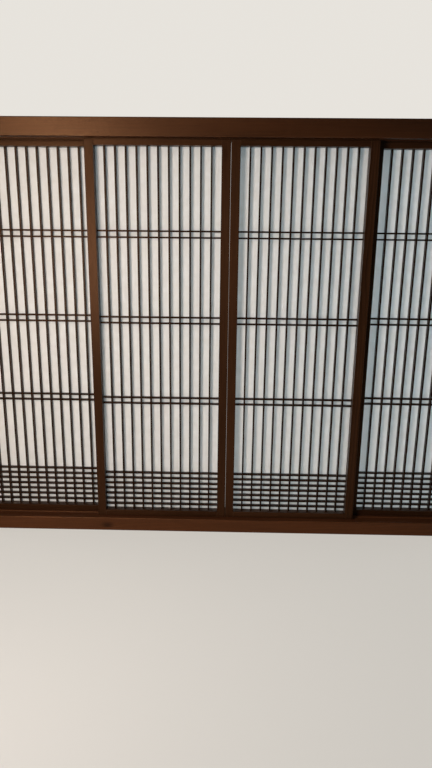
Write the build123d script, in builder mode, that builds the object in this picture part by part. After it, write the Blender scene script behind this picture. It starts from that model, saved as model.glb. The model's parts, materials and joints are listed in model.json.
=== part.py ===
from build123d import *
import os

# Four sliding paper screens in their wooden frame, for a window high in a wall.
# The room is on the side of -Y. The origin is under the middle of the frame,
# with X along the tracks and Z up. All sizes are in millimetres.

# Lattice of the screens
UPRIGHTS = 11            # slats in each screen
UPRIGHT_PITCH = 30.3     # one traditional inch, centre to centre
UPRIGHT_WIDTH = 4.8
UPRIGHT_DEPTH = 15.0
BAR_HEIGHT = 4.8
BAR_DEPTH = 12.5
FOOT_BARS = 7            # bars in the dense grid at the foot
CLOSE_PITCH = 17.8       # bars of a pair and of the foot grid, centre to centre
FIELD_HEIGHT = 225.7     # clear height between one pair and the next
UPRIGHT_TENON = 4.0      # end of a slat let into a rail

# Frame of each screen
STILE_WIDTH = 26.0
SCREEN_THICKNESS = 30.0
RAIL_SHOW = 19.0         # height of a rail seen between the lattice and the track
STILE_CHAMFER = 1.0
TENON_LENGTH = 15.0
TENON_THICKNESS = 9.0
TENON_HEIGHT = 11.0
TENON_RELIEF = 0.5       # space left at the end of a mortise
PAPER_THICKNESS = 0.4
PAPER_REBATE = 1.0       # depth of the step that takes the paper's edge
PAPER_LAP = 8.0          # paper glued on the stiles and rails

# Tracks
GROOVE_WIDTH = 21.0
TRACK_RIB = 12.0         # wood left between the two grooves
HEAD_GROOVE = 15.0
SILL_GROOVE = 3.0
HEAD_LAP = 11.0          # how far a screen stands up in the groove of the head
TRACK_CLEARANCE = 0.5    # on each side of a tongue in its groove
SHOULDER_GAP = 1.0       # under the shoulder at a screen's foot

# Outer frame
TRACK_LIP = 25.5         # wood in front of the front groove and behind the rear one
HEAD_HEIGHT = 50.0
SILL_HEIGHT = 43.5
JAMB_WIDTH = 36.0
JAMB_HOUSING = 6.0       # how far head and sill are let into the jambs
FRAME_CHAMFER = 1.5

# Where the closed screens stand
LEFT_OVERLAP = 29.0      # outer left screen behind the inner left one
RIGHT_OVERLAP = 8.6      # outer right screen behind the inner right one
MEETING_GAP = 0.6        # between the two inner screens

# Sizes that follow
PAIR_NAMES = ["upper", "middle", "lower"]
upright_gap = UPRIGHT_PITCH - UPRIGHT_WIDTH
lattice_width = UPRIGHTS * UPRIGHT_WIDTH + (UPRIGHTS + 1) * upright_gap
pair_height = CLOSE_PITCH + BAR_HEIGHT
fields = len(PAIR_NAMES) + 1
foot_height = FOOT_BARS * CLOSE_PITCH
lattice_height = fields * FIELD_HEIGHT + len(PAIR_NAMES) * pair_height + foot_height
screen_width = lattice_width + 2 * STILE_WIDTH

track_height = lattice_height + 2 * RAIL_SHOW
track_pitch = GROOVE_WIDTH + TRACK_RIB
frame_depth = 2 * TRACK_LIP + 2 * GROOVE_WIDTH + TRACK_RIB
tongue_thickness = GROOVE_WIDTH - 2 * TRACK_CLEARANCE
lift_room = HEAD_GROOVE - HEAD_LAP

head_bottom = SILL_HEIGHT + track_height
frame_height = head_bottom + HEAD_HEIGHT
screen_foot = SILL_HEIGHT - SILL_GROOVE
screen_top = head_bottom + HEAD_LAP
lattice_foot = SILL_HEIGHT + RAIL_SHOW
lattice_top = lattice_foot + lattice_height
lattice_middle = (lattice_foot + lattice_top) / 2
foot_shoulder = SILL_HEIGHT + SHOULDER_GAP
top_shoulder = head_bottom - lift_room
tongue_levels = [(screen_foot, foot_shoulder), (top_shoulder, screen_top)]
foot_tenon = (foot_shoulder + lattice_foot) / 2
top_tenon = (lattice_top + top_shoulder) / 2

clear_width = 4 * screen_width + MEETING_GAP - LEFT_OVERLAP - RIGHT_OVERLAP
left_jamb_face = -clear_width / 2
right_jamb_face = clear_width / 2

# Left edge and middle plane of each closed screen
front_track = -track_pitch / 2
rear_track = track_pitch / 2
inner_left_edge = left_jamb_face + screen_width - LEFT_OVERLAP
inner_right_edge = inner_left_edge + screen_width + MEETING_GAP
SCREENS = {
    "outer_left": (left_jamb_face, rear_track),
    "inner_left": (inner_left_edge, front_track),
    "inner_right": (inner_right_edge, front_track),
    "outer_right": (right_jamb_face - screen_width, rear_track),
}

# Depths measured from the middle plane of a screen
screen_back = SCREEN_THICKNESS / 2
lattice_back = screen_back - PAPER_REBATE
upright_depth_middle = lattice_back - UPRIGHT_DEPTH / 2
bar_depth_middle = lattice_back - BAR_DEPTH / 2


def save(piece, label):
    """Name one finished piece and write it to its own file."""
    piece.part.label = label
    export_step(piece.part, f"parts/{label}.step")


# Places of slats and bars
def upright_places(left_edge):
    """Middle of each slat along X."""
    first = left_edge + STILE_WIDTH + upright_gap + UPRIGHT_WIDTH / 2
    return [first + UPRIGHT_PITCH * number for number in range(UPRIGHTS)]


def pair_levels():
    """Middle heights of the two bars of each pair, from the top down."""
    levels = []
    for number in range(len(PAIR_NAMES)):
        fields_above = FIELD_HEIGHT * (number + 1) + pair_height * number
        first = lattice_top - fields_above - BAR_HEIGHT / 2
        levels.append((first, first - CLOSE_PITCH))
    return levels


def foot_levels():
    """Middle heights of the bars in the foot grid, from the top down."""
    first = lattice_foot + foot_height - BAR_HEIGHT / 2
    return [first - CLOSE_PITCH * row for row in range(FOOT_BARS)]


# Head and sill: planed beams, each with two grooves
def beam_outline(low, high):
    """Cross-section of head or sill, with the two arrises of the room face taken off."""
    front = -frame_depth / 2
    Polygon(
        (front + FRAME_CHAMFER, low),
        (-front, low),
        (-front, high),
        (front + FRAME_CHAMFER, high),
        (front, high - FRAME_CHAMFER),
        (front, low + FRAME_CHAMFER),
        align=None,
    )


def track_beam(label, low, high, groove_low, groove_high):
    length = clear_width + 2 * JAMB_HOUSING
    groove_middle = (groove_low + groove_high) / 2
    with BuildPart() as beam:
        with BuildSketch(Plane.YZ.offset(-length / 2)):
            beam_outline(low, high)
            with Locations((front_track, groove_middle), (rear_track, groove_middle)):
                Rectangle(GROOVE_WIDTH, groove_high - groove_low, mode=Mode.SUBTRACT)
        extrude(amount=length)
    save(beam, label)


# Jambs: posts with a housing for each end of head and sill
def jamb(label, inner_face, outward):
    """outward is -1 for the left jamb and 1 for the right one."""
    with BuildPart() as post:
        with BuildSketch(Plane.XY):
            with Locations((inner_face + outward * JAMB_WIDTH / 2, 0)):
                Rectangle(JAMB_WIDTH, frame_depth)
        extrude(amount=frame_height)
        with BuildSketch(Plane.YZ.offset(inner_face)):
            beam_outline(0, SILL_HEIGHT)
            beam_outline(head_bottom, frame_height)
        extrude(amount=outward * JAMB_HOUSING, mode=Mode.SUBTRACT)
    save(post, label)


# Stiles: the upright sides of a screen
def tongue_steps(middle, width, track):
    """Wood cut away in front of and behind a tongue that runs in a groove."""
    step = (SCREEN_THICKNESS - tongue_thickness) / 2
    step_middle = screen_back - step / 2
    with Locations((middle, track - step_middle), (middle, track + step_middle)):
        Rectangle(width, step)


def stile(label, outer_edge, inward, track):
    """inward is 1 for a left stile and -1 for a right one."""
    middle = outer_edge + inward * STILE_WIDTH / 2
    inner_edge = outer_edge + inward * STILE_WIDTH
    with BuildPart() as post:
        with BuildSketch(Plane.XY.offset(screen_foot)) as section:
            with Locations((middle, track)):
                Rectangle(STILE_WIDTH, SCREEN_THICKNESS)
            front_corners = section.vertices().group_by(Axis.Y)[0]
            outer_corner = front_corners.sort_by(Axis.X)[0 if inward > 0 else -1]
            chamfer(outer_corner, STILE_CHAMFER)
        extrude(amount=screen_top - screen_foot)
        # Step for the paper's edge
        with BuildSketch(Plane.XY.offset(lattice_foot - PAPER_LAP)):
            with Locations((inner_edge, track + screen_back)):
                Rectangle(2 * PAPER_LAP, 2 * PAPER_REBATE)
        extrude(amount=lattice_height + 2 * PAPER_LAP, mode=Mode.SUBTRACT)
        # Mortises for the two rails
        with BuildSketch(Plane.YZ.offset(inner_edge)):
            with Locations((track, foot_tenon), (track, top_tenon)):
                Rectangle(TENON_THICKNESS, TENON_HEIGHT)
        extrude(amount=-inward * (TENON_LENGTH + TENON_RELIEF), mode=Mode.SUBTRACT)
        for low, high in tongue_levels:
            with BuildSketch(Plane.XY.offset(low)):
                tongue_steps(middle, STILE_WIDTH, track)
            extrude(amount=high - low, mode=Mode.SUBTRACT)
    save(post, label)


# Rails: the top and foot of a screen, tenoned into its stiles
def rail(label, left_edge, track, lattice_face, track_end, tenon_middle):
    """The rail reaches from the face that holds the slats to its end in the groove."""
    inner_edge = left_edge + STILE_WIDTH
    upward = 1 if track_end > lattice_face else -1
    with BuildPart() as beam:
        with BuildSketch(Plane.YZ.offset(inner_edge)):
            with Locations((track, (lattice_face + track_end) / 2)):
                Rectangle(SCREEN_THICKNESS, abs(track_end - lattice_face))
            with Locations((track + screen_back, lattice_face)):
                Rectangle(2 * PAPER_REBATE, 2 * PAPER_LAP, mode=Mode.SUBTRACT)
        extrude(amount=lattice_width)
        for low, high in tongue_levels:
            with BuildSketch(Plane.XY.offset(low)):
                tongue_steps(inner_edge + lattice_width / 2, lattice_width, track)
            extrude(amount=high - low, mode=Mode.SUBTRACT)
        with BuildSketch(Plane.YZ.offset(inner_edge - TENON_LENGTH)):
            with Locations((track, tenon_middle)):
                Rectangle(TENON_THICKNESS, TENON_HEIGHT)
        extrude(amount=lattice_width + 2 * TENON_LENGTH)
        # Housings for the ends of the slats
        with BuildSketch(Plane.XY.offset(lattice_face)):
            places = upright_places(left_edge)
            with Locations(*[(x, track + upright_depth_middle) for x in places]):
                Rectangle(UPRIGHT_WIDTH, UPRIGHT_DEPTH)
        extrude(amount=upward * UPRIGHT_TENON, mode=Mode.SUBTRACT)
    save(beam, label)


# Slats: each one is notched from behind to take the bars
def uprights(label, left_edge, track, bar_levels):
    notches = [(track + bar_depth_middle, level) for level in bar_levels]
    with BuildPart() as slats:
        for middle in upright_places(left_edge):
            with BuildSketch(Plane.YZ.offset(middle - UPRIGHT_WIDTH / 2)):
                with Locations((track + upright_depth_middle, lattice_middle)):
                    Rectangle(UPRIGHT_DEPTH, lattice_height + 2 * UPRIGHT_TENON)
                with Locations(*notches):
                    Rectangle(BAR_DEPTH, BAR_HEIGHT, mode=Mode.SUBTRACT)
            extrude(amount=UPRIGHT_WIDTH)
    save(slats, label)


# Bars: they run from stile to stile through the notches
def bars(label, left_edge, track, levels):
    with BuildPart() as strips:
        with BuildSketch(Plane.YZ.offset(left_edge + STILE_WIDTH)):
            with Locations(*[(track + bar_depth_middle, level) for level in levels]):
                Rectangle(BAR_DEPTH, BAR_HEIGHT)
        extrude(amount=lattice_width)
    save(strips, label)


# Paper: one sheet on the back of the lattice, its edge in the steps round it
def paper(label, left_edge, track):
    with BuildPart() as sheet:
        with BuildSketch(Plane.XZ.offset(-(track + lattice_back))):
            with Locations((left_edge + screen_width / 2, lattice_middle)):
                Rectangle(lattice_width + 2 * PAPER_LAP, lattice_height + 2 * PAPER_LAP)
        extrude(amount=-PAPER_THICKNESS)
    save(sheet, label)


# Write every piece to its own file
os.makedirs("parts", exist_ok=True)

track_beam("sill", 0, SILL_HEIGHT, screen_foot, SILL_HEIGHT)
track_beam("head", head_bottom, frame_height, head_bottom, head_bottom + HEAD_GROOVE)
jamb("left_jamb", left_jamb_face, -1)
jamb("right_jamb", right_jamb_face, 1)

all_levels = [level for pair in pair_levels() for level in pair] + foot_levels()
for screen, (left_edge, track) in SCREENS.items():
    stile(f"{screen}_left_stile", left_edge, 1, track)
    stile(f"{screen}_right_stile", left_edge + screen_width, -1, track)
    rail(f"{screen}_top_rail", left_edge, track, lattice_top, screen_top, top_tenon)
    rail(f"{screen}_foot_rail", left_edge, track, lattice_foot, screen_foot, foot_tenon)
    uprights(f"{screen}_uprights", left_edge, track, all_levels)
    for pair, (first, second) in zip(PAIR_NAMES, pair_levels()):
        bars(f"{screen}_{pair}_pair_top_bar", left_edge, track, [first])
        bars(f"{screen}_{pair}_pair_foot_bar", left_edge, track, [second])
    bars(f"{screen}_foot_grid_bars", left_edge, track, foot_levels())
    paper(f"{screen}_paper", left_edge, track)
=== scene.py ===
# %% [markdown]
# # Sliding paper screens in a wooden frame
#
# The object is a wide window unit: four light wooden screens, backed with paper, that
# slide in the grooves of a head and a sill. The solids come from the CAD model as a
# fixed frame. This file gives them their softened edges and their finishes, stretches
# the paper, and sets up the studio.

# %% Load the frame
import json
import math

import bpy
import numpy as np
from mathutils import Matrix, Vector


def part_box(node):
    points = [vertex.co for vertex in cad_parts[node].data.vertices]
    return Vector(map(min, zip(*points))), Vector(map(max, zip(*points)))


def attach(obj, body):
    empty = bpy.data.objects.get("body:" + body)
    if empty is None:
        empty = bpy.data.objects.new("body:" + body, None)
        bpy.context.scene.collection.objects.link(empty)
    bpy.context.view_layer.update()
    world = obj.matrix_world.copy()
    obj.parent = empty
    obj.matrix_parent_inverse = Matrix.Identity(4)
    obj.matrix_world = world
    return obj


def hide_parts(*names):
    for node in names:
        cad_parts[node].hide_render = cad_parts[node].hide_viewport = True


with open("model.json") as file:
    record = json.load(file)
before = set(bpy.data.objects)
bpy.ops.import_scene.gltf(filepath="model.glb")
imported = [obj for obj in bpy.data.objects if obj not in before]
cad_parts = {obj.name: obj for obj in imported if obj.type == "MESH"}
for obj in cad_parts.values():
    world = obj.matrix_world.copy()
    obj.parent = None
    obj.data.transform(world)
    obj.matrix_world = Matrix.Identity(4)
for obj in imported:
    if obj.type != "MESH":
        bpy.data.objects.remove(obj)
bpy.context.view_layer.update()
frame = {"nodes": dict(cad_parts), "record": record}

MM = 0.001

# %% [markdown]
# ## Sorting the pieces by the run of their grain
#
# A joiner cuts every stick so that its grain runs along it. The posts, stiles and
# slats stand upright, so their grain runs along Z, and the head, sill, rails and bars
# lie across, so theirs runs along X. The names tell the two kinds apart, and the
# record's material slots tell which wood a piece is cut from. Both could be written as
# lists, but a rule can't forget a piece.

# %% Pieces by grain and by use
UPRIGHT_WORDS = ("jamb", "stile", "uprights")


def use_of(name):
    """frame, screen, lattice or paper, read from the slot that the record gives the piece."""
    for row in frame["record"]["subparts"]:
        if row["node"] == name:
            return row["material_slot"].replace("_wood", "")
    raise KeyError(name)


def stands_upright(name):
    """True for a piece whose grain runs along Z."""
    return name.endswith(UPRIGHT_WORDS)


wooden = {name: use_of(name) for name in frame["nodes"] if use_of(name) != "paper"}
papers = [name for name in frame["nodes"] if use_of(name) == "paper"]
print(len(wooden), "wooden pieces,", len(papers), "sheets of paper")

# %% [markdown]
# ## Softening the arrises
#
# Nobody leaves a planed edge sharp: one stroke with a plane or a sandpaper block takes
# it off, and that thin facet catches the light. A shader can only shade such a facet,
# so each piece gets a real one from a narrow Bevel. A CAD mesh is made of loose
# triangles, so a Weld joins them first. Both are modifiers, which leave the solid
# itself as it was.

# %% Ease the edges of every wooden piece
EASED_EDGE = {"frame": 0.9 * MM, "screen": 0.6 * MM, "lattice": 0.35 * MM}
SHARPEST_LEFT = math.radians(40)

for name, use in wooden.items():
    piece = frame["nodes"][name]
    weld = piece.modifiers.new("join_triangles", "WELD")
    weld.merge_threshold = 0.02 * MM
    ease = piece.modifiers.new("eased_edges", "BEVEL")
    ease.width = EASED_EDGE[use]
    ease.segments = 2
    ease.limit_method = "ANGLE"
    ease.angle_limit = SHARPEST_LEFT
    ease.harden_normals = True
print("edges eased by", EASED_EDGE)

# %% [markdown]
# ## Helpers for node materials
#
# A procedural material is a graph. Small helpers keep its lines short. The first adds
# a node, sets its options, and sets or joins its sockets: a socket that is given
# another socket is joined to it, and one that is given a value takes that value.

# %% Add a node to a graph
def add(tree, kind, sockets=None, **options):
    """A new node of that kind, with its options set and its sockets set or joined."""
    node = tree.nodes.new(kind)
    for option, value in options.items():
        setattr(node, option, value)
    for socket, value in (sockets or {}).items():
        if isinstance(value, bpy.types.NodeSocket):
            tree.links.new(value, node.inputs[socket])
        else:
            node.inputs[socket].default_value = value
    return node


# %% [markdown]
# A Mix node for colours shares its type with those for numbers and vectors, so its
# colour sockets are reached by their place in the list: 0 is the amount, 6 and 7 are
# the two colours, and output 2 is the mixed one.

# %% Mix colours, work with numbers and vectors
AMOUNT, BELOW, ABOVE, MIXED = 0, 6, 7, 2


def blend(tree, kind, amount, below, above):
    """A colour mix: below, with above laid on it in that kind and amount."""
    sockets = {AMOUNT: amount, BELOW: below, ABOVE: above}
    return add(tree, "ShaderNodeMix", sockets, data_type="RGBA", blend_type=kind).outputs[MIXED]


def work_out(tree, operation, first, second=0.0, third=0.0):
    """One arithmetic step on numbers."""
    sockets = {0: first, 1: second, 2: third}
    return add(tree, "ShaderNodeMath", sockets, operation=operation).outputs[0]


def on_vectors(tree, operation, sockets):
    """One step on vectors: its result is a vector."""
    return add(tree, "ShaderNodeVectorMath", sockets, operation=operation).outputs["Vector"]


def measure(tree, operation, sockets):
    """One step on vectors whose result is a number, such as a length."""
    return add(tree, "ShaderNodeVectorMath", sockets, operation=operation).outputs["Value"]


def spread(tree, value, low, high, new_low=0.0, new_high=1.0):
    """value from low to high becomes new_low to new_high, and stays within them."""
    sockets = {"Value": value, "From Min": low, "From Max": high, "To Min": new_low, "To Max": new_high}
    return add(tree, "ShaderNodeMapRange", sockets).outputs[0]


def noise(tree, place, stretch, detail=2.0, roughness=0.5, shift=(0, 0, 0)):
    """Soft noise whose grains are 1 / stretch metres long in each direction."""
    moved = add(tree, "ShaderNodeMapping", {"Vector": place, "Location": shift, "Scale": stretch})
    sockets = {"Vector": moved.outputs[0], "Scale": 1.0, "Detail": detail, "Roughness": roughness}
    return add(tree, "ShaderNodeTexNoise", sockets).outputs["Fac"]


# %% [markdown]
# Every new material comes with a Principled shader and an output. Paper and floor mix
# that shader with a second one, and show the mixture instead.

# %% Start a material, show two shaders mixed
def new_material(name):
    """A material, its graph, and the Principled shader in it."""
    material = bpy.data.materials.new(name)
    material.use_nodes = True
    tree = material.node_tree
    return material, tree, tree.nodes["Principled BSDF"]


def show_mixed(tree, share, below, above):
    """Show a mixture of two shaders, with that share of the second."""
    mixed = add(tree, "ShaderNodeMixShader", {0: share, 1: below, 2: above}).outputs[0]
    tree.links.new(mixed, tree.nodes["Material Output"].inputs["Surface"])


# %% [markdown]
# A node group is a part of a graph that several materials share. Its sockets belong to
# its interface, and each material that uses the group gives them its own values.

# %% Make a group and use it
COLOUR, NUMBER, VECTOR = "NodeSocketColor", "NodeSocketFloat", "NodeSocketVector"


def new_group(name, inputs, outputs):
    """An empty shader group with named sockets, and its two end nodes."""
    group = bpy.data.node_groups.new(name, "ShaderNodeTree")
    for label, kind, value in inputs:
        socket = group.interface.new_socket(label, in_out="INPUT", socket_type=kind)
        if value is not None:
            socket.default_value = value
    for label, kind in outputs:
        group.interface.new_socket(label, in_out="OUTPUT", socket_type=kind)
    return group, add(group, "NodeGroupInput"), add(group, "NodeGroupOutput")


def use_group(tree, group, sockets):
    """One use of a shader group with its own values."""
    return add(tree, "ShaderNodeGroup", sockets, node_tree=group)


# %% [markdown]
# ## Planed softwood, stained dark
#
# The real wood is a straight-grained softwood under a reddish brown stain. Close up it
# has growth rings a few millimetres apart, finer streaks between them, and short dark
# dashes where the pores are cut. A picture of wood would repeat and would need
# unwrapping, so all three are worked out: the rings from circles around the tree's
# heart, the rest from noise that is stretched along the grain. The group takes a place
# that has already been turned so that its X runs along the grain, which lets one group
# serve posts and beams alike.

# %% A group for the grain of the wood
grain, group_in, group_out = new_group(
    "stained_grain",
    [
        ("Along Grain", VECTOR, None),
        ("Shade", COLOUR, (0.05, 0.02, 0.01, 1)),
        ("Light", COLOUR, (0.15, 0.07, 0.03, 1)),
        ("Ring Pitch", NUMBER, 0.003),
        ("Ring Contrast", NUMBER, 0.4),
        ("Knots", NUMBER, 0.0),
    ],
    [("Color", COLOUR), ("Roughness", NUMBER), ("Height", NUMBER)],
)
place = group_in.outputs["Along Grain"]

# %% [markdown]
# The fibres drift sideways, so that no line is quite straight: a slow noise, moved to
# lie evenly around zero, is added to the place before anything else reads it.

# %% Slow sideways drift of the fibres
DRIFT_STRETCH = (2.2, 9, 9)
DRIFT_WIDTH = 12 * MM

drift = add(grain, "ShaderNodeMapping", {"Vector": place, "Scale": DRIFT_STRETCH}).outputs[0]
drift = add(grain, "ShaderNodeTexNoise", {"Vector": drift, "Scale": 1.0, "Detail": 3.0})
drift = on_vectors(grain, "SUBTRACT", {0: drift.outputs["Color"], 1: (0.5, 0.5, 0.5)})
drift = on_vectors(grain, "SCALE", {0: drift, "Scale": DRIFT_WIDTH})
drifted = on_vectors(grain, "ADD", {0: place, 1: drift})
print("fibres drift by up to", DRIFT_WIDTH / MM / 2, "mm")

# %% [markdown]
# Growth rings are circles around the tree's heart, which lies outside the sawn piece.
# The distance from the heart, divided by the rings' pitch, leaves a fraction that runs
# from 0 to 1 across each ring, and a power of it keeps only the dark late wood.

# %% Growth rings around the heart of the tree
HEART = (0, 0.31, -0.47)
LATE_WOOD_POWER = 2.6

across = on_vectors(grain, "MULTIPLY", {0: drifted, 1: (0, 1, 1)})
from_heart = measure(grain, "DISTANCE", {0: across, 1: HEART})
ring = work_out(grain, "DIVIDE", from_heart, group_in.outputs["Ring Pitch"])
late_wood = work_out(grain, "POWER", work_out(grain, "FRACT", ring), LATE_WOOD_POWER)
print("heart of the tree at", HEART)

# %% [markdown]
# Everything finer is one kind of noise at different stretches. Three numbers say how
# many of its grains fit in a metre: along the grain, across it, and across it again.

# %% Streaks at two widths, cut pores, and the cloudy uptake of the stain
WIDE_STREAK = (5, 420, 420)
FINE_STREAK = (14, 1300, 1300)
CUT_PORE = (140, 2400, 2400)
PORE_RANGE = (0.40, 0.28)
STAIN_CLOUD = (1.6, 14, 14)

wide_streak = noise(grain, drifted, WIDE_STREAK)
fine_streak = noise(grain, drifted, FINE_STREAK)
pore = spread(grain, noise(grain, drifted, CUT_PORE, detail=1.0), *PORE_RANGE)
cloud = noise(grain, place, STAIN_CLOUD, detail=4.0)
print("a fine streak is about", round(1000 / FINE_STREAK[0]), "mm long")
print("a cut pore is about", round(1000 / CUT_PORE[0]), "mm long")

# %% [markdown]
# The tone adds the streaks and the cloud and takes the rings away. It then picks a
# colour between the wood's shade and its light, and the pores darken that once more.

# %% From tone to colour
FINE_SHARE, WIDE_SHARE, CLOUD_SHARE = 0.45, 0.5, 0.9
BASE_TONE = 0.05
TONE_RANGE = (0.05, 0.95)
PORE_SHARE = 0.4
PORE_STAIN = (0.25, 0.2, 0.16, 1)

tone = work_out(grain, "MULTIPLY_ADD", fine_streak, FINE_SHARE, BASE_TONE)
tone = work_out(grain, "MULTIPLY_ADD", wide_streak, WIDE_SHARE, tone)
tone = work_out(grain, "SUBTRACT", tone, CLOUD_SHARE / 2)
tone = work_out(grain, "MULTIPLY_ADD", cloud, CLOUD_SHARE, tone)
darker = work_out(grain, "MULTIPLY", late_wood, group_in.outputs["Ring Contrast"])
tone = spread(grain, work_out(grain, "SUBTRACT", tone, darker), *TONE_RANGE)
stained = blend(grain, "MIX", tone, group_in.outputs["Shade"], group_in.outputs["Light"])
pore_share = work_out(grain, "MULTIPLY", pore, PORE_SHARE)
stained = blend(grain, "MULTIPLY", pore_share, stained, PORE_STAIN)
print("pores darken by up to", PORE_SHARE)

# %% [markdown]
# Small knots come in few places. The wood is divided into cells, each with a random
# colour; only the cells whose red is high have a knot, a dark spot in their middle.

# %% Small knots in few of the cells
KNOT_CELLS = (8, 21, 21)
KNOT_SPOT = (0.22, 0.10)
KNOTTY_RED = (0.84, 0.86)
PIN_KNOT = (0.34, 0.26, 0.22, 1)

cells = add(grain, "ShaderNodeMapping", {"Vector": drifted, "Scale": KNOT_CELLS}).outputs[0]
cells = add(grain, "ShaderNodeTexVoronoi", {"Vector": cells, "Scale": 1.0, "Randomness": 0.9})
red = add(grain, "ShaderNodeSeparateColor", {"Color": cells.outputs["Color"]}).outputs[0]
spot = spread(grain, cells.outputs["Distance"], *KNOT_SPOT)
knotty = work_out(grain, "MULTIPLY", spot, spread(grain, red, *KNOTTY_RED))
knotty = work_out(grain, "MULTIPLY", knotty, group_in.outputs["Knots"])
stained = blend(grain, "MULTIPLY", knotty, stained, PIN_KNOT)
grain.links.new(stained, group_out.inputs["Color"])
print("knots come in cells of", round(1000 / KNOT_CELLS[0]), "mm along the grain")

# %% [markdown]
# The hard late wood stands a little proud and is polished by use, and the pores stay
# rough and low.

# %% Roughness and height of the grain
SMOOTHEST = 0.27
STREAK_ROUGHNESS = 0.18
PORE_ROUGHNESS = 0.25
LATE_WOOD_HEIGHT = 0.35

rough = work_out(grain, "MULTIPLY_ADD", fine_streak, STREAK_ROUGHNESS, SMOOTHEST)
rough = work_out(grain, "MULTIPLY_ADD", pore, PORE_ROUGHNESS, rough)
grain.links.new(rough, group_out.inputs["Roughness"])
relief = work_out(grain, "MULTIPLY_ADD", late_wood, LATE_WOOD_HEIGHT, fine_streak)
relief = work_out(grain, "SUBTRACT", relief, pore)
grain.links.new(relief, group_out.inputs["Height"])
print("grain group has", len(grain.nodes), "nodes")

# %% [markdown]
# ## Edges lighter from wearing and from a painted highlight
#
# Where hands and sliding have thinned the stain, the arrises are a little lighter than
# the flats. The same lighter colour also stands in for the highlight that a lit edge
# catches, so it is partly real wearing and partly a painted highlight. Such edges could
# be painted by hand, piece by piece, but a shader can find them all. The Bevel node
# reports the normal that a rounded edge would have: wherever it leaves the true normal,
# an edge is near. A noise breaks the lighter edges into patches.

# %% A group that finds the edges
WEAR_PATCH = (30, 90, 90)
EDGE_RANGE = (0.995, 0.80)
PATCH_RANGE = (0.35, 0.65)

lighter_edges, group_in, group_out = new_group(
    "worn_edges",
    [("Width", NUMBER, 0.001), ("Place", VECTOR, None), ("Amount", NUMBER, 0.5)],
    [("Mask", NUMBER)],
)
rounded = add(lighter_edges, "ShaderNodeBevel", {"Radius": group_in.outputs["Width"]}, samples=4)
facet = add(lighter_edges, "ShaderNodeNewGeometry").outputs["Normal"]
alike = measure(lighter_edges, "DOT_PRODUCT", {0: rounded.outputs[0], 1: facet})
edge = spread(lighter_edges, alike, *EDGE_RANGE)
patches = noise(lighter_edges, group_in.outputs["Place"], WEAR_PATCH, detail=3.0)
edge = work_out(lighter_edges, "MULTIPLY", edge, spread(lighter_edges, patches, *PATCH_RANGE))
edge = work_out(lighter_edges, "MULTIPLY", edge, group_in.outputs["Amount"])
lighter_edges.links.new(edge, group_out.inputs["Mask"])
print("edge group has", len(lighter_edges.nodes), "nodes")

# %% [markdown]
# ## The finish of each kind of wood
#
# Head, sill and jambs are thick and coarsely ringed. The screens are made of finer
# stock, and the thin lattice has the straightest grain of all. The finish is oil, and
# the frame has the most of it: its head shines where the lamp is mirrored. What a
# stained surface mirrors is itself brown, which the sheen's colour repeats.

# %% Three woods
WOODS = {
    "frame": dict(
        shade=(0.0115, 0.0034, 0.0012), light=(0.052, 0.0170, 0.0060),
        pitch=3.4 * MM, rings=0.42, knots=0.8, wear=0.5, sheen=0.44,
    ),
    "screen": dict(
        shade=(0.0110, 0.0038, 0.0015), light=(0.047, 0.0185, 0.0076),
        pitch=2.2 * MM, rings=0.36, knots=0.5, wear=0.5, sheen=0.18,
    ),
    "lattice": dict(
        shade=(0.0060, 0.0027, 0.0014), light=(0.021, 0.0100, 0.0055),
        pitch=1.7 * MM, rings=0.30, knots=0.0, wear=0.3, sheen=0.13,
    ),
}
SHEEN_COLOUR = (1.0, 0.52, 0.27, 1)
# Lighter colour of the edges: partly wearing of the stain, partly a painted highlight
EDGE_WEAR_AND_HIGHLIGHT_COLOUR = (0.24, 0.135, 0.07, 1)
LIGHTER_EDGE_WIDTH = 1.2 * MM
RELIEF = 0.12 * MM
RELIEF_STRENGTH = 0.6
TURN_UPRIGHT = (0, math.radians(90), 0)
# Painted light: the sill's colour is made lighter in place of the light it reflects
PAINTED_LIGHTER = {"sill": 1.85}
print("woods:", ", ".join(WOODS))

# %% [markdown]
# One knot is large enough to be seen from a few steps away, in the sill's front. Its
# nearness swells from 0 at its reach to 1 at its heart. A power of that pushes the
# growth rings aside, so that they flow around it, and its upper end stains the heart.

# %% The knot in the sill
KNOTS = {"sill": (-0.389, -0.0525, 0.019)}
KNOT_REACH = 40 * MM
KNOT_SIZE = 9 * MM
KNOT_PUSH = 9 * MM
KNOT_BLUR, KNOT_CORE = 0.10, 0.4
KNOT_STAIN = (0.16, 0.11, 0.09, 1)
SHORTER_ALONG = (0.55, 1, 1)


def swell_of(tree, here, knot):
    """Nearness to a knot: one less its distance over its reach, which is longer along X."""
    away = on_vectors(tree, "SUBTRACT", {0: here, 1: knot})
    away = on_vectors(tree, "MULTIPLY", {0: away, 1: SHORTER_ALONG})
    return spread(tree, measure(tree, "LENGTH", {0: away}), KNOT_REACH, 0.0)


def around_knot(tree, along, swell):
    """The place in the grain, pushed down by the swell's third power."""
    push = {0: (0, 0, -KNOT_PUSH), "Scale": work_out(tree, "POWER", swell, 3.0)}
    return on_vectors(tree, "ADD", {0: along, 1: on_vectors(tree, "SCALE", push)})


def stain_knot(tree, colour, swell):
    """The colour, with the knot's heart stained dark."""
    share = KNOT_SIZE / KNOT_REACH
    heart = spread(tree, swell, 1 - share - KNOT_BLUR, 1 - KNOT_CORE * share)
    return blend(tree, "MULTIPLY", heart, colour, KNOT_STAIN)


print("knots:", KNOTS)

# %% [markdown]
# One solid file holds all the slats of a screen, and another its foot grid's bars. No
# two sticks come from the same place in a log, so each stick in the row needs its own
# grain and tone. Its number in the row is its distance from the row's start divided
# by the pitch, rounded down, and a white noise turns that number into its own chance.

# %% Sticks in a row
SLAT_PITCH = 30.3 * MM
GRID_PITCH = 17.8 * MM
STICK_TONES = (0.72, 1.28)
LOG_JUMP = (2.0, 0.2, 0.2)


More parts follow.
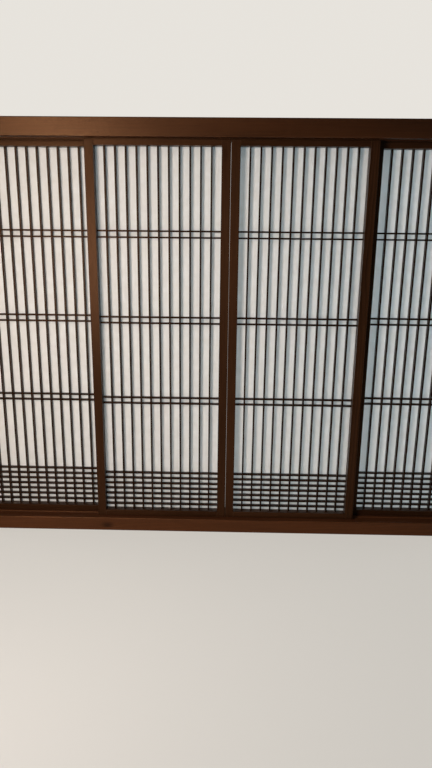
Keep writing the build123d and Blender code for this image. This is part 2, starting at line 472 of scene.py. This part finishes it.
def chance_of_stick(tree, here, axis, start, pitch, seed):
    """A random value and colour for the stick that this place belongs to."""
    row = add(tree, "ShaderNodeSeparateXYZ", {0: here}).outputs[axis]
    number = work_out(tree, "DIVIDE", work_out(tree, "SUBTRACT", row, start), pitch)
    number = work_out(tree, "ADD", work_out(tree, "FLOOR", number), seed + 0.5)
    return add(tree, "ShaderNodeTexWhiteNoise", {"W": number}, noise_dimensions="1D")


def jump_in_log(tree, along, chance):
    """The place in the grain, moved by the stick's own random jump."""
    jump = on_vectors(tree, "MULTIPLY", {0: chance.outputs["Color"], 1: LOG_JUMP})
    return on_vectors(tree, "ADD", {0: along, 1: jump})


def tone_of_stick(tree, colour, chance):
    """The colour, made darker or lighter by the stick's own tone."""
    own_tone = spread(tree, chance.outputs["Value"], 0, 1, *STICK_TONES)
    return on_vectors(tree, "SCALE", {0: colour, "Scale": own_tone})


# %% [markdown]
# The finish puts these together. Each piece starts at a random place in its log and
# has its own tone, both drawn from its number, so that the picture never changes.

# %% The finish of one wooden piece
PIECE_TONES = (0.86, 1.14)


def wood_finish(piece_name, use, upright, seed, start=None, pitch=None):
    """Stained wood with its grain along Z if upright, else along X.

    Where the piece holds a row of sticks, start and pitch say where the row begins
    and how far apart its sticks are.
    """
    wood = WOODS[use]
    random = np.random.default_rng(seed)
    # The sill's tone is raised here as well: painted light in place of reflected light
    tone = random.uniform(*PIECE_TONES) * PAINTED_LIGHTER.get(piece_name, 1.0)
    log_place = (random.uniform(0, 3), *random.uniform(-0.15, 0.15, 2))
    material, tree, shader = new_material(f"{piece_name}_wood")

    here = add(tree, "ShaderNodeTexCoord").outputs["Object"]
    turn = TURN_UPRIGHT if upright else (0, 0, 0)
    along = {"Vector": here, "Rotation": turn, "Location": log_place}
    along = add(tree, "ShaderNodeMapping", along).outputs[0]
    knot = KNOTS.get(piece_name)
    if knot:
        swell = swell_of(tree, here, knot)
        along = around_knot(tree, along, swell)
    if pitch:
        chance = chance_of_stick(tree, here, "X" if upright else "Z", start, pitch, seed)
        along = jump_in_log(tree, along, chance)

    planed = {
        "Along Grain": along,
        "Shade": (*(tone * part for part in wood["shade"]), 1),
        "Light": (*(tone * part for part in wood["light"]), 1),
        "Ring Pitch": wood["pitch"],
        "Ring Contrast": wood["rings"],
        "Knots": wood["knots"],
    }
    planed = use_group(tree, grain, planed)
    colour = planed.outputs["Color"]
    if pitch:
        colour = tone_of_stick(tree, colour, chance)
    if knot:
        colour = stain_knot(tree, colour, swell)
    # Lighter edges: partly wearing of the stain, partly a painted highlight
    edges = {"Width": LIGHTER_EDGE_WIDTH, "Place": along, "Amount": wood["wear"]}
    lighter_edge_mask = use_group(tree, lighter_edges, edges).outputs["Mask"]
    colour = blend(tree, "MIX", lighter_edge_mask, colour, EDGE_WEAR_AND_HIGHLIGHT_COLOUR)
    tree.links.new(colour, shader.inputs["Base Color"])
    tree.links.new(planed.outputs["Roughness"], shader.inputs["Roughness"])
    bump = {"Height": planed.outputs["Height"], "Strength": RELIEF_STRENGTH, "Distance": RELIEF}
    tree.links.new(add(tree, "ShaderNodeBump", bump).outputs[0], shader.inputs["Normal"])
    shader.inputs["Specular IOR Level"].default_value = wood["sheen"]
    shader.inputs["Specular Tint"].default_value = SHEEN_COLOUR
    return material


# %% Give every wooden piece its finish
def finish_for(name, use, number):
    """The finish of one node, with the row of sticks that it holds."""
    low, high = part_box(name)
    upright = stands_upright(name)
    if name.endswith("_uprights"):
        return wood_finish(name, use, upright, number, low[0] - SLAT_PITCH / 2, SLAT_PITCH)
    if name.endswith("_foot_grid_bars"):
        return wood_finish(name, use, upright, number, low[2] - GRID_PITCH / 2, GRID_PITCH)
    return wood_finish(name, use, upright, number)


for number, (name, use) in enumerate(wooden.items()):
    finish = finish_for(name, use, number)
    for slot in frame["nodes"][name].material_slots:
        slot.material = finish
print(len(wooden), "finishes of wood")

# %% [markdown]
# ## Paper
#
# The paper is handmade from long bark fibres. It is stuck to the back of the lattice
# and shrinks tight as its paste dries, so between two slats it lies almost flat, with
# a faint hollow that comes and goes.
#
# The surface is worked out as a grid: one number runs across the sheet and one up it.
# Across one gap between slats the hollow is the square of a sine. A second layer
# behind the first and a rim close it to a thin solid.

# %% How far the paper bows back
HOLLOW = 0.35 * MM
GLUED_EDGE = 10 * MM
FADE = 20 * MM


def hollow_depth(x, z, low, high, seed):
    """How far the paper bows back from the lattice.

    Across one gap it is the square of a sine, so that it starts and ends flat on the
    slats. Three slow waves in x and z make it deeper in one place than in another,
    and it fades to nothing at the sheet's glued edges.
    """
    random = np.random.default_rng(seed)
    phase = random.uniform(0, 2 * np.pi, 3)
    gap = np.sin(np.pi * (x - low[0]) / SLAT_PITCH) ** 2
    waves = np.sin(9 * z + phase[0])
    waves = waves + np.sin(17 * z + 11 * x + phase[1])
    waves = waves + np.sin(31 * z - 23 * x + phase[2])
    edge = np.minimum.reduce([x - low[0], high[0] - x, z - low[2], high[2] - z])
    fade = np.clip((edge - GLUED_EDGE) / FADE, 0, 1)
    return HOLLOW * gap * (0.5 + waves / 6) * fade


# %% [markdown]
# The faces follow from the grid's corner numbers: four shifted views of the same
# array are the four corners of every face at once. The back layer turns its faces
# round, and the rim joins the two layers corner by corner.

# %% A sheet of paper as a closed surface
PAPER_SHOWN = 0.3 * MM
COLUMNS_PER_GAP = 6
ROWS = 120


def closed_sheet(low, high, first_slat, seed):
    """Corner points and faces of a thin sheet between two corners of its solid."""
    columns = np.arange(low[0], high[0], SLAT_PITCH / COLUMNS_PER_GAP)
    across = np.unique(np.round(np.concatenate([[low[0], high[0]], columns]), 6))
    up = np.linspace(low[2], high[2], ROWS)
    x, z = np.meshgrid(across, up)
    origin = np.array([first_slat, low[1], low[2]])
    front = low[1] + hollow_depth(x, z, origin, high, seed)
    front = np.where(x < first_slat - SLAT_PITCH, low[1], front)
    layers = [np.stack([x, front + back, z], axis=-1).reshape(-1, 3) for back in (0, PAPER_SHOWN)]
    corner = np.arange(x.size).reshape(x.shape)
    a, b, c, d = corner[:-1, :-1], corner[:-1, 1:], corner[1:, 1:], corner[1:, :-1]
    face_front = np.stack([a, b, c, d], axis=-1).reshape(-1, 4)
    face_back = face_front[:, ::-1] + x.size
    rim = np.concatenate([corner[0, :-1], corner[:-1, -1], corner[-1, :0:-1], corner[:0:-1, 0]])
    rim_next = np.roll(rim, -1)
    face_rim = np.stack([rim_next, rim, rim + x.size, rim_next + x.size], axis=-1)
    return np.concatenate(layers), np.concatenate([face_front, face_back, face_rim])


# %% [markdown]
# ## The paper's finish
#
# The fibres are found as the contour lines of a noise: where it crosses one half, a
# thin line winds over the sheet. A second noise breaks the lines into short lengths.
# Half of the light that meets the paper goes through, which is a Translucent shader
# mixed with a matt Principled one.

# %% Fibres
FIBRE_RUNS = (((70, 70, 150), (0, 0, 0), 40), ((160, 160, 60), (7, 3, 5), 55))
FIBRE_LINE = (0.014, 0.0)
FIBRE_BREAKS = (0.52, 0.60)


def fibre_lines(tree, here):
    """Thin winding lines: 1 on a fibre, 0 beside it, in two directions."""
    fibres = 0.0
    for stretch, shift, length in FIBRE_RUNS:
        field = noise(tree, here, stretch, detail=3.0, roughness=0.6, shift=shift)
        line = work_out(tree, "ABSOLUTE", work_out(tree, "SUBTRACT", field, 0.5))
        line = spread(tree, line, *FIBRE_LINE)
        broken = noise(tree, here, (length,) * 3, detail=1.0, shift=shift)
        broken = spread(tree, broken, *FIBRE_BREAKS)
        fibres = work_out(tree, "MULTIPLY_ADD", line, broken, fibres)
    return fibres


# %% Bark paper
PULP = (45, 45, 45)
PULP_RANGE = (0.25, 0.75)
THIN_PULP, THICK_PULP = (0.80, 0.775, 0.735, 1), (0.865, 0.85, 0.82, 1)
FIBRE_SHOWS = 0.8
FIBRE_FRONT = (0.96, 0.95, 0.92, 1)
FIBRE_AGAINST_LIGHT = (0.80, 0.76, 0.68, 1)
SHARE_THROUGH = 0.5
PAPER_ROUGHNESS, PAPER_SHEEN = 0.85, 0.25
FIBRE_HEIGHT = 0.6
PAPER_RELIEF = 0.2 * MM
PAPER_RELIEF_STRENGTH = 0.35


def paper_finish():
    """Warm white bark paper that lets half of the light through."""
    material, tree, shader = new_material("bark_paper")
    here = add(tree, "ShaderNodeTexCoord").outputs["Object"]
    pulp = noise(tree, here, PULP, detail=5.0, roughness=0.6)
    fibres = fibre_lines(tree, here)
    colour = blend(tree, "MIX", spread(tree, pulp, *PULP_RANGE), THIN_PULP, THICK_PULP)
    shows = work_out(tree, "MULTIPLY", fibres, FIBRE_SHOWS)
    front_colour = blend(tree, "MIX", shows, colour, FIBRE_FRONT)
    back_colour = blend(tree, "MULTIPLY", shows, colour, FIBRE_AGAINST_LIGHT)
    tree.links.new(front_colour, shader.inputs["Base Color"])
    shader.inputs["Roughness"].default_value = PAPER_ROUGHNESS
    shader.inputs["Specular IOR Level"].default_value = PAPER_SHEEN
    height = work_out(tree, "MULTIPLY_ADD", fibres, FIBRE_HEIGHT, pulp)
    bump = {"Height": height, "Strength": PAPER_RELIEF_STRENGTH, "Distance": PAPER_RELIEF}
    bump = add(tree, "ShaderNodeBump", bump).outputs[0]
    tree.links.new(bump, shader.inputs["Normal"])
    through = add(tree, "ShaderNodeBsdfTranslucent", {"Color": back_colour, "Normal": bump})
    show_mixed(tree, SHARE_THROUGH, shader.outputs[0], through.outputs[0])
    return material


# %% [markdown]
# Each sheet takes the place of its flat solid and rides on its own screen, so that it
# slides with it. Its points are in metres from the scene's origin, so the object
# itself stays there, unturned and unscaled.

# %% Hang a sheet in each screen
HALF_SLAT = 2.4 * MM
FIRST_SEED = 11


def new_object(name, data):
    """An object in the scene that shows this mesh, lamp or camera."""
    thing = bpy.data.objects.new(name, data)
    bpy.context.collection.objects.link(thing)
    return thing


bark_paper = paper_finish()
for number, name in enumerate(papers):
    screen = name.removesuffix("_paper")
    low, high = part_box(name)
    first_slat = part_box(f"{screen}_uprights")[0][0] + HALF_SLAT
    points, faces = closed_sheet(low, high, first_slat, seed=FIRST_SEED + number)
    mesh = bpy.data.meshes.new(f"{screen}_paper_sheet")
    mesh.from_pydata(points.tolist(), [], faces.tolist())
    mesh.materials.append(bark_paper)
    mesh.polygons.foreach_set("use_smooth", np.ones(len(faces), dtype=bool))
    sheet = new_object(f"{screen}_paper_sheet", mesh)
    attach(sheet, f"{screen}_screen")
    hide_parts(name)
    print(sheet.name, len(points), "points", len(faces), "faces")

# %% [markdown]
# ## The studio
#
# In the photograph a tall patch of warm light comes from the left front. It throws the
# slats' shadows to the right and shines in the head's left end. Cool daylight from
# behind comes through the paper in those shadows. A picture of surroundings could
# give both, but lamps can be placed and measured one by one. So the studio repeats the
# light with lamps over a plain pale floor, and adds a faint cool one at the right, a
# faint ceiling and two fills for the unit's narrow sides.
#
# To the camera the floor is mostly an even glow, so that the lamps leave no bright
# spots on it, but the object's shadow still shows.

# %% Floor
FLOOR_REACH = 30.0
FLOOR_PAINT = (0.74, 0.71, 0.66, 1)
FLOOR_GLOW = (0.66, 0.63, 0.58, 1)
GLOW_SHARE = 0.75

west, east = -FLOOR_REACH, FLOOR_REACH
corners = [(west, west, 0), (east, west, 0), (east, east, 0), (west, east, 0)]
floor_mesh = bpy.data.meshes.new("studio_floor")
floor_mesh.from_pydata(corners, [], [(0, 1, 2, 3)])
floor = new_object("studio_floor", floor_mesh)
print("floor reaches", FLOOR_REACH, "m each way")

# %% Floor paint
floor_paint, floor_tree, floor_shader = new_material("pale_floor")
floor_shader.inputs["Base Color"].default_value = FLOOR_PAINT
floor_shader.inputs["Roughness"].default_value = 0.9
floor_glow = add(floor_tree, "ShaderNodeEmission", {"Color": FLOOR_GLOW, "Strength": 1.0})
seen = add(floor_tree, "ShaderNodeLightPath").outputs["Is Camera Ray"]
even = work_out(floor_tree, "MULTIPLY", seen, GLOW_SHARE)
show_mixed(floor_tree, even, floor_shader.outputs[0], floor_glow.outputs[0])
floor_mesh.materials.append(floor_paint)
print("to the camera,", GLOW_SHARE, "of the floor is glow")

# %% [markdown]
# The surround reaches every part of the object with a dim soft light. Where the camera
# looks straight at it, or through the paper, it is pale instead.

# %% Surround
WORLD_LIGHT = (0.024, 0.027, 0.03, 1)
WORLD_SEEN = (0.80, 0.77, 0.72, 1)

world = bpy.data.worlds.new("surround")
bpy.context.scene.world = world
world.use_nodes = True
sky = world.node_tree
background = sky.nodes["Background"]
rays = add(sky, "ShaderNodeLightPath")
seen = work_out(sky, "MAXIMUM", rays.outputs["Is Camera Ray"], rays.outputs["Is Transmission Ray"])
sky.links.new(blend(sky, "MIX", seen, WORLD_LIGHT, WORLD_SEEN), background.inputs["Color"])
background.inputs["Strength"].default_value = 1.0
print("surround lights with", WORLD_LIGHT[:3], "and shows", WORLD_SEEN[:3])

# %% [markdown]
# A sun or a point throws hard shadows, so each lamp is a rectangle, whose size sets
# how soft its shadows are. The low and the high key together stand for one tall lamp
# whose light is a little warmer below.

# %% Lamps
LAMPS = {
    "key_low": dict(
        place=(-0.76, -1.30, 0.80), target=(-0.1, 0, 0.50),
        size=(0.42, 0.60), watts=16.8, colour=(1.0, 0.875, 0.82),
    ),
    "key_high": dict(
        place=(-0.78, -1.30, 1.30), target=(-0.1, 0, 1.20),
        size=(0.34, 0.36), watts=2.8, colour=(1.0, 0.95, 0.88),
    ),
    "left_glow": dict(
        place=(-0.82, -1.28, 1.40), target=(-0.5, 0, 1.2),
        size=(0.20, 0.20), watts=2.8, colour=(1.0, 0.84, 0.66),
    ),
    "daylight_behind": dict(
        place=(0.9, 1.4, 0.8), target=(0.5, 0, 0.6),
        size=(1.2, 1.6), watts=27, colour=(0.48, 0.75, 1.0),
    ),
    "cool_right": dict(
        place=(1.7, -1.3, 0.9), target=(0.5, 0, 0.6),
        size=(0.8, 0.8), watts=2.4, colour=(0.36, 0.75, 1.0),
    ),
    "ceiling": dict(
        place=(-0.3, -1.5, 3.2), target=(-0.3, -0.5, 0),
        size=(3.0, 2.4), watts=12, colour=(0.92, 0.96, 1.0),
    ),
    "left_side_fill": dict(
        place=(-2.9, 0.35, 1.3), target=(-0.84, 0.1, 0.6),
        size=(1.6, 2.0), watts=20, colour=(1.0, 0.95, 0.88),
    ),
    "right_side_fill": dict(
        place=(2.9, 0.35, 1.3), target=(0.84, 0.1, 0.6),
        size=(1.6, 2.0), watts=20, colour=(0.95, 0.97, 1.0),
    ),
}


def soft_lamp(name, place, target, size, watts, colour):
    """A rectangular lamp at place that faces target and doesn't show itself."""
    lamp = bpy.data.lights.new(name, "AREA")
    lamp.shape = "RECTANGLE"
    lamp.size, lamp.size_y = size
    lamp.energy = watts
    lamp.color = colour
    holder = new_object(name, lamp)
    holder.location = place
    facing = (Vector(target) - Vector(place)).to_track_quat("-Z", "Y")
    holder.rotation_euler = facing.to_euler()
    holder.visible_camera = False


for name, values in LAMPS.items():
    soft_lamp(name, **values)
print(len(LAMPS), "lamps")

# %% [markdown]
# ## Camera
#
# The camera stands where the photograph was taken: about two metres in front of the
# screens, above their middle, and tilted down. Its place, its turns and its focal
# length were fitted to the lattice, whose pitch is known. Blender's focal length is
# in millimetres on a sensor, so the one in pixels is scaled by the image's height.

# %% Camera at the photograph's viewing angle
IMAGE_HEIGHT = 768
FOCAL_PIXELS = 649.6
SENSOR = 36
CAMERA_PLACE = (-0.0228, -1.9745, 0.9051)
YAW, PITCH, ROLL = math.radians(1.166), math.radians(15.918), math.radians(-0.578)
SHIFT_RIGHT, SHIFT_UP = 0.0082, 0.0543

lens = bpy.data.cameras.new("viewpoint")
lens.sensor_width = SENSOR
lens.lens = FOCAL_PIXELS / IMAGE_HEIGHT * SENSOR
lens.shift_x, lens.shift_y = SHIFT_RIGHT, SHIFT_UP
lens.clip_start = 50 * MM
camera = new_object("viewpoint", lens)
yaw = Matrix.Rotation(YAW, 4, "Z")
tilt = Matrix.Rotation(math.radians(90) - PITCH, 4, "X")
roll = Matrix.Rotation(-ROLL, 4, "Z")
camera.matrix_world = Matrix.Translation(CAMERA_PLACE) @ yaw @ tilt @ roll
bpy.context.scene.camera = camera
bpy.context.scene.view_settings.view_transform = "Standard"
print("camera at", CAMERA_PLACE, "with a", round(lens.lens, 2), "mm lens")
